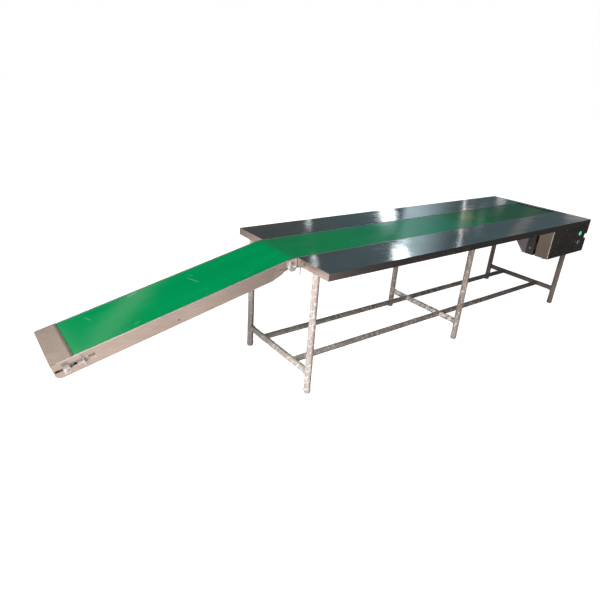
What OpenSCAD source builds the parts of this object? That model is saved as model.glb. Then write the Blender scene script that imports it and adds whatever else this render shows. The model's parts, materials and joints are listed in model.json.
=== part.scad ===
// Packing and sorting conveyor: a level work table with a flush belt along its
// middle, and an infeed slope that drops away from its left end. +X points to
// the drive end, +Y away from the operator's side, and the floor is Z = 0.

/* [Table] */
// Length of the level table
table_l = 3000; // [2600:10:3600]
// Width over both work wings
table_w = 980; // [880:10:1200]
// Height of the work surface above the floor
table_h = 860; // [760:5:1000]
// Depth of the folded skirts
skirt_h = 46; // [46:1:60]
// Thickness of the folded sheet
sheet_t = 2; // [1.5:0.5:2.5]

/* [Belt] */
// Width of the belt
belt_w = 370; // [300:5:400]
// Thickness of the belt
belt_t = 3; // [2:0.5:3]
// Depth of the belt's face below the table top
belt_sink = 1; // [0.5:0.5:1.5]
// Length of the closing strip between the belt and the drive end
end_strip_l = 52; // [50:1:80]

/* [Slope] */
// Angle of the slope
slope_deg = 13.4; // [8:0.1:16]
// Length of the slope from the knuckle to its end
slope_l = 1354; // [1100:2:1500]
// Depth of the slope's side plates
side_d = 85; // [85:1:110]
// Radius of the knuckle between table and slope
knuckle_r = 260; // [200:5:320]

/* [Drums and rollers] */
// Diameter of the drive and tail drums
drum_d = 76; // [70:1:76]
// Diameter of the drive drum's shaft
shaft_d = 20; // [16:1:25]
// Diameter of the return rollers
roller_d = 38; // [34:1:40]
// Diameter of the hold-down roller on the slope
hold_d = 30; // [26:1:32]
// Distance of the hold-down roller down the slope
hold_x = 718; // [600:1:800]

/* [Take-up] */
// Distance of the tail axle from the slope's end
tail_inset = 58; // [56:1:64]
// Length of the take-up slots
slot_l = 106; // [100:1:108]
// Way the tail drum can be slackened
takeup_travel = 40; // [20:1:40]
// Length of the tail cover along the slope
cover_l = 110; // [100:1:116]

/* [Leg frame] */
// Outside diameter of the leg pipes
leg_d = 42.4; // [42:0.1:48]
// Outside diameter of the crossbars
bar_d = 40; // [36:1:41]
// Outside diameter of the stretchers
stretcher_d = 38; // [30:1:39]
// Distance of the legs from the table's long edges
leg_inset = 137; // [137:1:170]
// Height of the crossbars above the floor
bar_h = 147; // [100:1:250]
// Distance of the stretchers from the table's long edges
stretcher_inset = 312; // [220:1:380]

/* [Drive] */
// Length of the control box
box_l = 600; // [590:5:700]
// Depth of the control box
box_w = 114; // [90:1:114]
// Height of the control box
box_h = 241; // [235:1:260]
// Teeth on the gearbox sprocket
motor_teeth = 13; // [11:1:15]
// Teeth on the drum sprocket
drum_teeth = 15; // [13:1:15]

/* [Controls] */
// Diameter of the green button's lens
green_d = 30; // [26:1:32]
// Diameter of the white button's lens
white_d = 38; // [32:1:40]
// Way a button can be pushed in
push_travel = 4; // [2:0.5:5]

/* [Hidden] */
$fn = 64;

steel = [0.78, 0.76, 0.74];
warm_steel = [0.72, 0.65, 0.6];
dark_steel = [0.3, 0.3, 0.31];
belt_green = [0, 0.52, 0.3];
zinc = [0.82, 0.8, 0.74];

// Side frames: C section plates whose outer faces line the slot of the table.
plate_t = 2.5;
edge_gap = 8;
flange_w = 7.5;
slot_w = belt_w + 2 * edge_gap;
side_y = (table_w - slot_w) / 2;
inner_y = side_y + plate_t;
belt_y = side_y + edge_gap;
rail_z = table_h - 87;
cheek_z = table_h - 90;
cheek_l = 220;
skirt_z = table_h - skirt_h;
inner_l = table_w - 2 * inner_y;

// Slope frame: its origin is the top edge at the foot of the knuckle curve.
knuckle_z = table_h - knuckle_r;
slope_x0 = -knuckle_r * sin(slope_deg);
slope_z0 = knuckle_z + knuckle_r * cos(slope_deg);
rail_start = slope_x0 + 2.25;
plate_end = -slope_l + sheet_t;

// Belt path, followed along the middle of its thickness.
run_gap = 0.3;
half_t = belt_t / 2;
belt_mid = belt_sink + half_t;
drum_r = drum_d / 2;
drum_path = drum_r + run_gap + half_t;
roller_r = roller_d / 2;
roller_path = roller_r + run_gap + half_t;
hold_r = hold_d / 2;
hold_path = hold_r + run_gap + half_t;
drum_depth = belt_mid + drum_path;
drive_x = table_l - end_strip_l - drum_path - half_t - 3;
drive_z = table_h - drum_depth;
tail_x = -slope_l + tail_inset + sheet_t;
tail_z = -drum_depth;
return_z = drive_z;
idler_z = return_z - roller_path;
snub_x = drive_x - 89;
idler_a_x = table_l * 0.29;
idler_b_x = table_l * 0.61;
bend_x = slope_x0 - 52;
hold_z = tail_z - drum_path + hold_path;

// The knuckle roller's place as the slope frame sees it.
bend_dx = bend_x - slope_x0;
bend_dz = idler_z - slope_z0;
bend_sx = bend_dx * cos(slope_deg) + bend_dz * sin(slope_deg);
bend_sz = bend_dz * cos(slope_deg) - bend_dx * sin(slope_deg);

// Angles at which the belt crosses from one roller to the next.
snub_dir = atan2(idler_z - drive_z, snub_x - drive_x);
snub_gap = norm([snub_x - drive_x, idler_z - drive_z]);
head_leave = snub_dir + acos((drum_path + roller_path) / snub_gap);
hold_dir = atan2(hold_z - bend_sz, -hold_x - bend_sx);
hold_gap = norm([-hold_x - bend_sx, hold_z - bend_sz]);
bend_leave = hold_dir - acos((roller_path + hold_path) / hold_gap) + 360;

// Rollers and axles.
axle_d = 12;
fit = 0.1;
seat_gap = 0.05;
roller_l = belt_w + 4;
roller_y = (table_w - roller_l) / 2;
wall = 2.5;
disc_t = 8;

// Take-up.
block_l = 32;
block_h = 30;
block_t = 28;
axle_end_d = 12;
tail_axle_d = 20;
screw_d = 8;
screw_tip_d = 6;
screw_y = side_y - 15;
screw_l = 133;
lug_x = tail_x + 79;
lug_t = 5;

// Legs.
leg_wall = 2.6;
leg_xs = [24, table_l / 2, table_l - 24];
beam_xs = [24, table_l / 4, table_l / 2, table_l * 3 / 4, table_l - 24];
beam_w = 40;
beam_h = skirt_h - sheet_t - 4;
leg_l = table_h - sheet_t - beam_h;

// Drive.
box_x = table_l - box_l;
box_z = skirt_z - box_h;
tray_t = 4;
tray_x = box_x - 8;
tray_end = table_l - 50;
pan_t = 10;
tray_y = box_w + 12;
tray_z = box_z + 2;
gear_x = drive_x - 149;
gear_z = box_z + 127;
motor_y = tray_y + 55;
motor_z = box_z + 77;
motor_r = 52;
pitch = 12.7;
chain_y = side_y - 25;
gear_pr = pitch / 2 / sin(180 / motor_teeth);
drum_pr = pitch / 2 / sin(180 / drum_teeth);

// Controls, as places on the front panel.
green_x = table_l - 150;
green_z = skirt_z - 62;
white_x = table_l - 52;
white_z = skirt_z - 92;
knob_x = table_l - 142;
knob_z = skirt_z - 142;
green_out = 14;
white_out = 22;
knob_out = 18;

// Middle of the whole machine, which is the origin.
mid_x = (table_l + slope_x0 - slope_l * cos(slope_deg) - sheet_t * sin(slope_deg)) / 2;
mid_y = (table_w - white_out) / 2;

function knuckle_top(x) = knuckle_z + sqrt(knuckle_r * knuckle_r - x * x);
function polar(c, r, a) = [c[0] + r * cos(a), c[1] + r * sin(a)];

// ---------- placing ----------

module on_table() translate([-mid_x, -mid_y, 0]) children();

module on_slope() on_table() translate([slope_x0, 0, slope_z0]) rotate([0, -slope_deg, 0]) children();

module both_sides() {
    children();
    translate([0, table_w, 0]) mirror([0, 1, 0]) children();
}

module far_side() translate([0, table_w, 0]) mirror([0, 1, 0]) children();

// Flat plate drawn in X and Z, with its near face at y0.
module xz_plate(y0, t) translate([0, y0 + t, 0]) rotate([90, 0, 0]) linear_extrude(t) children();

// Section drawn in Y and Z, run along X from x0.
module yz_run(x0, l) translate([x0, 0, 0]) rotate([90, 0, 90]) linear_extrude(l) children();

// Round bar along Y from y0.
module y_rod(d, y0, l) translate([0, y0, 0]) rotate([-90, 0, 0]) cylinder(d = d, h = l);

// Round bar along X from x0.
module x_rod(d, x0, l) translate([x0, 0, 0]) rotate([0, 90, 0]) cylinder(d = d, h = l);

module hex_y(across, y0, l) {
    translate([0, y0, 0]) rotate([-90, 0, 0]) cylinder(d = across / cos(30), h = l, $fn = 6);
}

module hex_x(across, x0, l) {
    translate([x0, 0, 0]) rotate([0, 90, 0]) cylinder(d = across / cos(30), h = l, $fn = 6);
}

module slot_2d(l, w) {
    square([l - w, w], center = true);
    translate([(l - w) / 2, 0]) circle(d = w);
    translate([-(l - w) / 2, 0]) circle(d = w);
}

// ---------- belt ----------

// Points along an arc in X and Z, about one for every three degrees.
function arc_points(c, r, from, to) =
    let (n = max(2, ceil(abs(to - from) / 3)))
    [for (i = [0:n]) polar(c, r, from + (to - from) * i / n)];

function backwards(list) = [for (i = [len(list) - 1:-1:0]) list[i]];

// Stretch of belt between the points of its outer face and of its inner face.
module belt_strip(outer, inner) {
    xz_plate(belt_y, belt_w) polygon(concat(outer, backwards(inner)));
}

module belt_level(from, to, mid) {
    belt_strip([[from, mid + half_t], [to, mid + half_t]], [[from, mid - half_t], [to, mid - half_t]]);
}

module belt_table_top() {
    color(belt_green) on_table() belt_level(0, drive_x, table_h - belt_mid);
}

// The knuckle's centre lies square below the slope frame's origin.
module belt_slope_top() {
    c = [0, -knuckle_r];
    outer = knuckle_r - belt_sink;
    inner = outer - belt_t;
    color(belt_green) on_slope() belt_strip(
        concat([[tail_x, -belt_sink]], arc_points(c, outer, 90, 90 - slope_deg)),
        concat([[tail_x, -belt_sink - belt_t]], arc_points(c, inner, 90, 90 - slope_deg))
    );
}

module belt_head_wrap() {
    drum = [drive_x, drive_z];
    snub = [snub_x, idler_z];
    leave = head_leave + 180;
    color(belt_green) on_table() belt_strip(
        concat(arc_points(drum, drum_path + half_t, 90, head_leave),
            arc_points(snub, roller_path - half_t, leave, 90)),
        concat(arc_points(drum, drum_path - half_t, 90, head_leave),
            arc_points(snub, roller_path + half_t, leave, 90))
    );
}

module belt_tail_wrap() {
    drum = [tail_x, tail_z];
    color(belt_green) on_slope() belt_strip(
        arc_points(drum, drum_path + half_t, 90, 270),
        arc_points(drum, drum_path - half_t, 90, 270)
    );
}

module belt_return_table() {
    color(belt_green) on_table() belt_level(bend_x, snub_x, return_z);
}

module belt_return_slope() {
    bend = [bend_sx, bend_sz];
    hold = [-hold_x, hold_z];
    low = tail_z - drum_path;
    start = 90 - slope_deg;
    color(belt_green) on_slope() belt_strip(
        concat(arc_points(bend, roller_path - half_t, start, bend_leave),
            arc_points(hold, hold_path + half_t, bend_leave + 180, 270), [[tail_x, low - half_t]]),
        concat(arc_points(bend, roller_path + half_t, start, bend_leave),
            arc_points(hold, hold_path - half_t, bend_leave + 180, 270), [[tail_x, low + half_t]])
    );
}

// ---------- work surface ----------

module wing() {
    cube([table_l, sheet_t, skirt_h]);
    cube([sheet_t, side_y, skirt_h]);
    translate([table_l - sheet_t, 0, 0]) cube([sheet_t, side_y, skirt_h]);
    translate([0, 0, skirt_h - sheet_t]) cube([table_l, side_y, sheet_t]);
    translate([0, side_y - sheet_t, 6]) cube([table_l - cheek_l, sheet_t, skirt_h - 6]);
}

module near_wing() {
    color(steel) on_table() translate([0, 0, skirt_z]) wing();
}

module far_wing() {
    color(steel) on_table() far_side() translate([0, 0, skirt_z]) wing();
}

module end_strip() {
    l = end_strip_l;
    color(steel) on_table() translate([table_l, side_y, table_h]) {
        translate([-l, 0, -sheet_t]) cube([l, slot_w, sheet_t]);
        translate([-sheet_t, 0, -skirt_h]) cube([sheet_t, slot_w, skirt_h]);
    }
}

module wing_beam() {
    difference() {
        cube([beam_w, side_y - 2 * sheet_t, beam_h]);
        translate([sheet_t, -1, sheet_t])
            cube([beam_w - 2 * sheet_t, side_y, beam_h - 2 * sheet_t]);
    }
}

module wing_beams() {
    color(steel) on_table() both_sides()
        for (x = beam_xs)
            translate([x - beam_w / 2, sheet_t, leg_l]) wing_beam();
}

// ---------- side frames ----------

module rail_outline() {
    last = table_l - sheet_t;
    curve = [for (x = [rail_start:-rail_start / 4:0]) [x, knuckle_top(x)]];
    polygon(concat(curve, [
        [table_l - end_strip_l - 4, table_h],
        [table_l - end_strip_l - 4, table_h - sheet_t],
        [last, table_h - sheet_t],
        [last, cheek_z],
        [table_l - cheek_l, cheek_z],
        [table_l - cheek_l, rail_z],
        [150, rail_z],
        [0, table_h - 63],
        [rail_start, table_h - 63]
    ]));
}

module rail() {
    flange_l = table_l - end_strip_l - 4;
    difference() {
        union() {
            xz_plate(side_y, plate_t) rail_outline();
            translate([0, side_y, table_h - plate_t]) cube([flange_l, plate_t + flange_w - 2, plate_t]);
            translate([150, side_y, rail_z]) cube([table_l - cheek_l - 150, 18, plate_t]);
            translate([0, side_y + plate_t + flange_w - 2, knuckle_z]) rotate([90, 0, 0])
                rotate([0, 0, 90]) rotate_extrude(angle = slope_deg - 0.6, $fn = 96)
                    translate([knuckle_r - plate_t, 0]) square([plate_t, plate_t + flange_w - 2]);
        }
        for (x = [snub_x, idler_a_x, idler_b_x])
            translate([x, 0, idler_z]) y_rod(9, side_y - 1, plate_t + 2);
        translate([drive_x, 0, drive_z]) y_rod(shaft_d + 6, side_y - 1, plate_t + 2);
        translate([-35, 0, table_h - 26]) y_rod(10.5, side_y - 1, plate_t + 2);
        translate([-17, 0, table_h - 54]) xz_plate(side_y - 1, plate_t + 2) slot_2d(26, 8);
    }
}

module near_rail() {
    color(warm_steel) on_table() rail();
}

module far_rail() {
    color(warm_steel) on_table() far_side() rail();
}

module slope_outline() {
    polygon([
        [plate_end, 0], [-2, 0], [-15, -56], [-45, -60], [-60, -70], [-130, -side_d],
        [plate_end + 20, -side_d], [plate_end, -side_d + 20]
    ]);
}

module slope_plate() {
    rim = plate_t + flange_w - 2;
    difference() {
        union() {
            xz_plate(side_y, plate_t) slope_outline();
            translate([plate_end, side_y, -plate_t]) cube([-2 - plate_end, rim, plate_t]);
            translate([plate_end, side_y, -plate_t]) cube([13, 24, plate_t]);
            translate([plate_end, side_y, -side_d + 20]) cube([plate_t, 24, side_d - 20]);
        }
        translate([tail_x, 0, tail_z]) xz_plate(side_y - 1, plate_t + 2) slot_2d(slot_l, axle_end_d + 0.6);
        translate([-hold_x, 0, hold_z]) y_rod(9, side_y - 1, plate_t + 2);
        translate([bend_sx, 0, bend_sz]) y_rod(9, side_y - 1, plate_t + 2);
        translate([plate_end + 8, side_y + 12, -plate_t - 1]) cylinder(d = 4.4, h = plate_t + 2);
    }
}

module near_slope_plate() {
    color(warm_steel) on_slope() slope_plate();
}

module far_slope_plate() {
    color(warm_steel) on_slope() far_side() slope_plate();
}

// Outer bracket with the slot, the inner plate that joins rail and slope, and a
// hanging tab.
module knuckle_plates() {
    z = table_h;
    color(warm_steel) on_table() both_sides() {
        difference() {
            union() {
                xz_plate(side_y - 4, 4) polygon([
                    [-60, z - 9], [-30, z - 3.5], [-2, z - 2], [-2, z - 62], [-14, z - 82],
                    [-46, z - 80], [-60, z - 66]
                ]);
                translate([-60, side_y - 16, z - 62]) cube([4, 16, 50]);
            }
            translate([-35, 0, z - 26]) y_rod(10.5, side_y - 5, 6);
            translate([-17, 0, z - 54]) xz_plate(side_y - 5, 6) slot_2d(26, 8);
        }
        difference() {
            xz_plate(inner_y, 2) polygon([
                [-100, z - 42], [-100, z - 30], [-60, z - 19], [0, z - 12], [60, z - 12],
                [60, z - 37], [-20, z - 38]
            ]);
            translate([-35, 0, z - 26]) y_rod(10.5, inner_y - 1, 6);
        }
        translate([22, side_y - 4, z - 112]) cube([7, 4, 60]);
    }
}

// ---------- slider beds ----------

module bed_section(l, from, to) {
    w = inner_l;
    cube([l, w, sheet_t]);
    translate([from, 0, -22]) cube([to - from, sheet_t, 22]);
    translate([from, w - sheet_t, -22]) cube([to - from, sheet_t, 22]);
}

module table_bed() {
    top = belt_sink + belt_t;
    l = drive_x - 14;
    color(steel) on_table() {
        translate([0, inner_y, table_h - top - sheet_t]) bed_section(l, 64, l - 100);
        translate([0, inner_y + inner_l, knuckle_z]) rotate([90, 0, 0]) rotate([0, 0, 90])
            rotate_extrude(angle = slope_deg, $fn = 96)
                translate([knuckle_r - top - sheet_t - fit, 0]) square([sheet_t, inner_l]);
    }
}

module slope_bed() {
    top = belt_sink + belt_t;
    start = tail_x + takeup_travel + 16;
    l = -0.2 - start;
    color(steel) on_slope() translate([start, inner_y, -top - sheet_t])
        bed_section(l, 60, l - 60);
}

// ---------- drums and rollers ----------

module hollow_roller(d, bore) {
    difference() {
        y_rod(d, roller_y, roller_l);
        y_rod(d - 2 * wall, roller_y + disc_t, roller_l - 2 * disc_t);
        y_rod(bore, roller_y - 1, roller_l + 2);
    }
}

module drive_drum() {
    near = chain_y - 12;
    far = table_w - side_y + 22;
    color(dark_steel) on_table() translate([drive_x, 0, drive_z]) {
        difference() {
            y_rod(drum_d, roller_y, roller_l);
            y_rod(drum_d - 8, roller_y + disc_t, roller_l - 2 * disc_t);
            translate([0, 0, 22]) y_rod(6, roller_y - 1, disc_t + 2);
        }
        y_rod(shaft_d, near, far - near);
    }
}

// Flanged bearing units, one on the outer face of each rail.
module drum_bearings() {
    color(dark_steel) on_table() both_sides() translate([drive_x, 0, drive_z])
        difference() {
            union() {
                y_rod(52, side_y - 10, 10);
                translate([-34, side_y - 8, -13]) cube([68, 8, 26]);
                translate([-34, 0, 0]) y_rod(26, side_y - 8, 8);
                translate([34, 0, 0]) y_rod(26, side_y - 8, 8);
            }
            y_rod(shaft_d + fit, side_y - 11, 12);
        }
}

module tail_drum() {
    color(dark_steel) on_slope() translate([tail_x, 0, tail_z]) hollow_roller(drum_d, tail_axle_d + fit);
}

module tail_axle() {
    end = side_y - block_t - 9;
    color(zinc) on_slope() translate([tail_x, 0, tail_z]) {
        y_rod(tail_axle_d, inner_y + 0.5, inner_l - 1);
        y_rod(axle_end_d, end, table_w - 2 * end);
    }
}

module takeup_blocks() {
    near = side_y - run_gap - block_t;
    color(zinc) on_slope() both_sides() translate([tail_x, 0, tail_z]) {
        difference() {
            translate([-block_l / 2, near, -block_h / 2]) cube([block_l, block_t, block_h]);
            y_rod(axle_end_d + fit, near - 1, block_t + 2);
            translate([0, screw_y, 0]) x_rod(screw_tip_d + fit, block_l / 2 - 7, 8);
        }
        difference() {
            hex_y(18, near - 8 - seat_gap, 8);
            y_rod(axle_end_d + fit, near - 10, 11);
        }
    }
}

module takeup_screw() {
    from = block_l / 2 + 0.3;
    translate([tail_x, screw_y, tail_z]) {
        x_rod(screw_d, from, screw_l - from);
        x_rod(screw_tip_d, block_l / 2 - 6.5, 7);
        hex_x(13, screw_l, 6);
    }
}

module takeup_screw_near() {
    color(zinc) on_slope() takeup_screw();
}

module takeup_screw_far() {
    color(zinc) on_slope() far_side() takeup_screw();
}

// Angle lugs welded to the side plates, each with a nut on either side.
module takeup_brackets() {
    color(zinc) on_slope() both_sides() {
        difference() {
            union() {
                translate([lug_x, side_y - 34, tail_z - 20]) cube([lug_t, 34, 40]);
                translate([lug_x, side_y - 3, tail_z - 20]) cube([28, 3, 40]);
            }
            translate([0, screw_y, tail_z]) x_rod(screw_d + 0.6, lug_x - 1, lug_t + 2);
        }
        for (x = [lug_x - 6.5 - seat_gap, lug_x + lug_t + seat_gap])
            translate([0, screw_y, tail_z]) difference() {
                hex_x(13, x, 6.5);
                x_rod(screw_d + fit, x - 1, 9);
            }
    }
}

module return_roller(x) {
    on_table() translate([x, 0, idler_z]) hollow_roller(roller_d, axle_d + fit);
}

module snub_roller() {
    color(zinc) return_roller(snub_x);
}

module idler_a() {
    color(zinc) return_roller(idler_a_x);
}

module idler_b() {
    color(zinc) return_roller(idler_b_x);
}

module knuckle_roller() {
    color(zinc) return_roller(bend_x);
}

module hold_down_roller() {
    color(zinc) on_slope() translate([-hold_x, 0, hold_z]) hollow_roller(hold_d, axle_d + fit);
}

module roller_axle() {
    difference() {
        y_rod(axle_d, inner_y, inner_l);
        y_rod(8.2, inner_y - 1, 21);
        y_rod(8.2, table_w - inner_y - 20, 21);
    }
}

module roller_axles() {
    color(zinc) {
        on_table() for (x = [snub_x, idler_a_x, idler_b_x, bend_x])
            translate([x, 0, idler_z]) roller_axle();
        on_slope() translate([-hold_x, 0, hold_z]) roller_axle();
    }
}

module axle_bolt() {
    hex_y(13, side_y - 6, 6);
    y_rod(8, side_y - 1, 19);
}

module axle_bolts() {
    color(zinc) {
        on_table() both_sides() for (x = [snub_x, idler_a_x, idler_b_x, bend_x])
            translate([x, 0, idler_z]) axle_bolt();
        on_slope() both_sides() translate([-hold_x, 0, hold_z]) axle_bolt();
    }
}

// ---------- tail cover ----------

module tail_cover() {
    r = 12;
    lip = 12;
    color(warm_steel) on_slope() difference() {
        union() {
            translate([-slope_l, side_y, 0]) linear_extrude(sheet_t) {
                translate([r, 0]) square([cover_l - lip - r, slot_w]);
                translate([0, r]) square([r, slot_w - 2 * r]);
                translate([r, r]) circle(r = r);
                translate([r, slot_w - r]) circle(r = r);
            }
            xz_plate(side_y, slot_w) polygon([
                [cover_l - lip - slope_l, 0], [cover_l - slope_l, 0],
                [cover_l - slope_l, 0.8], [cover_l - lip - slope_l, sheet_t]
            ]);
            translate([-slope_l, side_y + 26, -30]) cube([sheet_t, slot_w - 52, 30]);
        }
        for (y = [side_y + 12, table_w - side_y - 12])
            translate([plate_end + 8, y, -1]) cylinder(d = 4.4, h = sheet_t + 2);
    }
}

module cover_screws() {
    color(zinc) on_slope() both_sides() translate([plate_end + 8, side_y + 12, 0]) {
        translate([0, 0, sheet_t]) cylinder(d = 9, h = 2);
        translate([0, 0, -8]) cylinder(d = 4, h = 11);
    }
}

// ---------- leg frame ----------

module leg(x, y) {
    color(steel) on_table() translate([x, y, 0]) difference() {
        cylinder(d = leg_d, h = leg_l);
        translate([0, 0, 3]) cylinder(d = leg_d - 2 * leg_wall, h = leg_l);
    }
}

module leg_near_left() leg(leg_xs[0], leg_inset);
module leg_far_left() leg(leg_xs[0], table_w - leg_inset);
module leg_near_mid() leg(leg_xs[1], leg_inset);
module leg_far_mid() leg(leg_xs[1], table_w - leg_inset);
module leg_near_right() leg(leg_xs[2], leg_inset);
module leg_far_right() leg(leg_xs[2], table_w - leg_inset);

module crossbar(x) {
    far = table_w - leg_inset;
    color(steel) on_table() difference() {
        translate([x, 0, bar_h]) y_rod(bar_d, leg_inset, far - leg_inset);
        translate([x, 0, bar_h]) y_rod(bar_d - 4, leg_inset - 1, far - leg_inset + 2);
        for (y = [leg_inset, far])
            translate([x, y, bar_h - bar_d]) cylinder(d = leg_d, h = 2 * bar_d);
    }
}

module crossbar_left() crossbar(leg_xs[0]);
module crossbar_mid() crossbar(leg_xs[1]);
module crossbar_right() crossbar(leg_xs[2]);

module stretcher(y) {
    l = leg_xs[2] - leg_xs[0];
    color(steel) on_table() difference() {
        translate([leg_xs[0], y, bar_h]) x_rod(stretcher_d, 0, l);
        translate([leg_xs[0], y, bar_h]) x_rod(stretcher_d - 4, -1, l + 2);
        for (x = leg_xs)
            translate([x, 0, bar_h]) y_rod(bar_d, y - bar_d, 2 * bar_d);
    }
}

module stretcher_near() stretcher(stretcher_inset);
module stretcher_far() stretcher(table_w - stretcher_inset);

// ---------- drive ----------

module sprocket(teeth, pr, y0, t) {
    root = pr - 4.2;
    tip = pr + 3.6;
    translate([0, y0 + t, 0]) rotate([90, 0, 0]) linear_extrude(t) {
        circle(r = root);
        for (i = [0:teeth - 1])
            rotate([0, 0, i * 360 / teeth])
                polygon([[root - 2, -3.2], [pr, -2.4], [tip, -0.9], [tip, 0.9], [pr, 2.4], [root - 2, 3.2]]);
    }
}

module drum_sprocket() {
    color(dark_steel) on_table() translate([drive_x, 0, drive_z]) difference() {
        union() {
            sprocket(drum_teeth, drum_pr, chain_y - 3.5, 7);
            y_rod(36, chain_y - 10, 10);
        }
        y_rod(shaft_d, chain_y - 11, 20);
    }
}

module gearbox_sprocket() {
    color(dark_steel) on_table() translate([gear_x, 0, gear_z]) {
        sprocket(motor_teeth, gear_pr, chain_y - 3.5, 7);
        y_rod(32, chain_y - 8, 8);
        y_rod(20, motor_y + 11, chain_y - 7 - motor_y);
    }
}

// Outline that runs round both sprockets, grown by g.
module chain_outline(g) {
    a = [gear_x, gear_z];
    b = [drive_x, drive_z];
    d = b - a;
    dir = atan2(d[1], d[0]);
    tilt = acos((gear_pr - drum_pr) / norm(d));
    translate(a) circle(r = gear_pr + g);
    translate(b) circle(r = drum_pr + g);
    polygon([
        polar(a, gear_pr + g, dir + tilt), polar(b, drum_pr + g, dir + tilt),
        polar(b, drum_pr + g, dir - tilt), polar(a, gear_pr + g, dir - tilt)
    ]);
}

module chain_side(y0) {
    xz_plate(y0, 2) difference() {
        chain_outline(5);
        chain_outline(-5);
    }
}

// Side plates of the chain as two bands, tied by pins along the free spans.
module drive_chain() {
    a = [gear_x, gear_z];
    b = [drive_x, drive_z];
    d = b - a;
    dir = atan2(d[1], d[0]);
    tilt = acos((gear_pr - drum_pr) / norm(d));
    color(dark_steel) on_table() {
        chain_side(chain_y - 6);
        chain_side(chain_y + 4);
        for (s = [-1, 1])
            for (k = [-4:4])
                let (p = polar(a, gear_pr, dir + s * tilt), q = polar(b, drum_pr, dir + s * tilt),
                     m = (p + q) / 2 + k * pitch * (q - p) / norm(q - p))
                    translate([m[0], 0, m[1]]) y_rod(6, chain_y - 5, 10);
    }
}

module gearbox() {
    w = 84;
    y0 = motor_y - w / 2;
    x0 = gear_x - 55;
    base = tray_z + tray_t;
    top = gear_z + 45;
    color([0.36, 0.36, 0.4]) on_table() difference() {
        union() {
            xz_plate(y0, w) polygon([
                [x0, base + 12], [x0 + 110, base + 12], [x0 + 110, top - 20], [x0 + 90, top],
                [x0 + 20, top], [x0, top - 20]
            ]);
            translate([x0 - 10, y0, base]) cube([130, w, 13]);
            translate([gear_x, 0, gear_z]) y_rod(70, y0 - 5, w + 10);
        }
        translate([gear_x, 0, gear_z]) y_rod(20 + fit, motor_y + 9, 90);
    }
}

// Motor body with its feet, cooling ribs, terminal box and open fan cowl.
module motor() {
    from = tray_x + 30;
    to = gear_x - 55;
    base = tray_z + tray_t;
    color([0.36, 0.36, 0.4]) on_table() difference() {
        union() {
            translate([0, motor_y, motor_z]) {
                x_rod(2 * motor_r - 14, from + 58, to - from - 58);
                x_rod(2 * motor_r, from, 60);
                x_rod(2 * motor_r, to - 10, 10);
                for (a = [0:15:345])
                    rotate([a, 0, 0]) translate([from + 59, -1.5, motor_r - 9])
                        cube([to - from - 68, 3, 8.5]);
            }
            translate([from + 110, motor_y - 42, base]) cube([110, 84, 36]);
            translate([from + 90, motor_y - 35, motor_z + 30]) cube([90, 70, 44]);
        }
        translate([0, motor_y, motor_z]) {
            x_rod(2 * motor_r - 6, from + 3, 46);
            x_rod(14 + fit, from + 40, 70);
            x_rod(36, from - 1, 6);
            for (a = [0:45:315])
                rotate([a, 0, 0]) translate([from - 1, -4, 24]) cube([6, 8, 20]);
        }
    }
}

module motor_fan() {
    from = tray_x + 30;
    color([0.15, 0.15, 0.16]) on_table() translate([0, motor_y, motor_z]) {
        x_rod(30, from + 12, 18);
        x_rod(84, from + 26, 3);
        x_rod(14, from + 29, 76);
        for (a = [0:45:315])
            rotate([a, 0, 0]) translate([from + 12, -1, 12]) cube([15, 2, 28]);
    }
}

// Bent tray that hangs on the near rail and carries the gear motor.
module drive_tray() {
    y0 = tray_y;
    y1 = side_y;
    z0 = tray_z;
    z1 = tray_z + 79;
    z2 = skirt_z - 2;
    low = cheek_z;
    cut = 71;
    t = tray_t;
    color([0.33, 0.3, 0.33]) on_table() {
        yz_run(tray_x + t, tray_end - tray_x - t) polygon([
            [y0, z0], [y1 - cut, z0], [y1, z1], [y1, low], [y1 - t, low],
            [y1 - t, z1 + 1.5], [y1 - cut - 1.8, z0 + t], [y0, z0 + t]
        ]);
        yz_run(tray_x + t, table_l - cheek_l - 40 - tray_x)
            translate([y1 - t, low - 1]) square([t, z2 - low + 1]);
        yz_run(tray_x, t) polygon([[y0, z0], [y1 - cut, z0], [y1, z1], [y1, z2], [y0, z2]]);
        translate([tray_x - pan_t, y0, z0 + 2]) difference() {
            cube([pan_t, 66, 168]);
            translate([sheet_t, sheet_t, -1]) cube([pan_t, 66 - 2 * sheet_t, 169 - sheet_t]);
        }
    }
}

module control_box() {
    t = sheet_t;
    color([0.52, 0.46, 0.39]) on_table() translate([box_x, t, box_z]) difference() {
        cube([box_l, box_w - t, box_h]);
        translate([t, 2, t]) cube([box_l - 2 * t, box_w - 2 * t - 2, box_h - 2 * t]);
        translate([14, -1, 14]) cube([box_l - 28, 4, box_h - 28]);
        translate([40, 50, -1]) cylinder(d = 20, h = 4);
    }
}

module panel_hole(x, z, d) translate([x, 0, z]) y_rod(d, -1, sheet_t + 2);

module front_panel() {
    color([0.14, 0.14, 0.14]) on_table() difference() {
        translate([box_x, 0, box_z]) cube([box_l, sheet_t, box_h]);
        panel_hole(green_x, green_z, green_d + 5);
        panel_hole(white_x, white_z, white_d + 5);
        panel_hole(knob_x, knob_z, 22);
    }
}

// Body of a push button: collar outside, neck through the panel, block inside.
module button_body(lens, collar, out) {
    neck = lens + 4.8;
    difference() {
        union() {
            y_rod(collar, -out, out);
            y_rod(neck, -1, 8);
            translate([-neck / 2 - 1, sheet_t, -neck / 2 - 1]) cube([neck + 2, 40, neck + 2]);
        }
        y_rod(lens + 0.6, -out - 1, out + 21);
    }
}

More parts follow.
